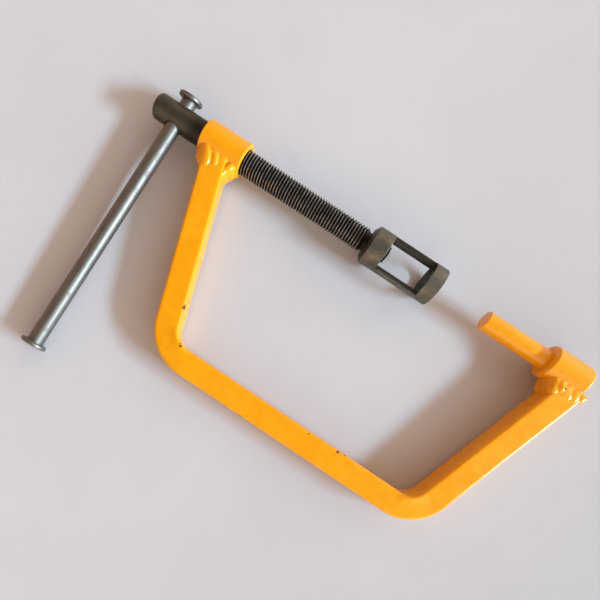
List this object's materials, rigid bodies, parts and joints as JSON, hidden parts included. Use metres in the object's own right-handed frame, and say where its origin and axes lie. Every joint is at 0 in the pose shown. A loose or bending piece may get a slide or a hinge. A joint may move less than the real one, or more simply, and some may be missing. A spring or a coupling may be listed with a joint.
{
  "type": "c frame valve spring clamp",
  "caption": "Bent-bar C frame with a screw, sliding tommy bar and swivelling windowed cage that faces a fixed anvil pin.",
  "frame": {"origin": "centre of the anvil pin's flat working face, on the axis of the screw", "axes": "+X along the screw from its head towards the anvil pin, +Z square to the plane of the frame, with the frame's back on the -Y side of the screw; the clamp lies flat"},
  "size_m": [0.3245, 0.189, 0.025],
  "materials": {
    "yellow_paint": "glossy amber-yellow enamel over steel, slightly uneven, with small chips",
    "blackened_steel": "oiled black oxide, dull, worn a little on edges",
    "bright_steel": "drawn bright steel with a light grey sheen"
  },
  "bodies": {
    "frame": {"frame_bar": "yellow_paint", "screw_boss": "yellow_paint", "screw_boss_weld": "yellow_paint", "anvil_boss": "yellow_paint", "anvil_boss_weld": "yellow_paint", "anvil_pin": "yellow_paint"},
    "washer": {"retaining_washer": "blackened_steel"},
    "screw": {"spindle": "blackened_steel"},
    "cage": {"cage": "blackened_steel"},
    "tommy": {"tommy_bar": "bright_steel", "tommy_stop_near": "bright_steel", "tommy_stop_far": "bright_steel"}
  },
  "joints": [
    {"name": "screw_feed", "type": "slide", "parent": "frame", "child": "washer", "axis": [1, 0, 0], "range_m": [-0.088, 0]},
    {"name": "screw_turn", "type": "hinge", "parent": "washer", "child": "screw", "pos_m": [-0.15, 0, 0], "axis": [1, 0, 0], "range_deg": [-15840, 0]},
    {"name": "cage_swivel", "type": "hinge", "parent": "washer", "child": "cage", "pos_m": [-0.06, 0, 0], "axis": [1, 0, 0], "continuous": true},
    {"name": "tommy_slide", "type": "slide", "parent": "screw", "child": "tommy", "axis": [-0.0162, 0.9999, 0], "range_m": [-0.0042, 0.1599]}
  ],
  "couplings": [
    {"joint": "screw_feed", "follows": "screw_turn", "m_per_rad": 0.00031831}
  ]
}
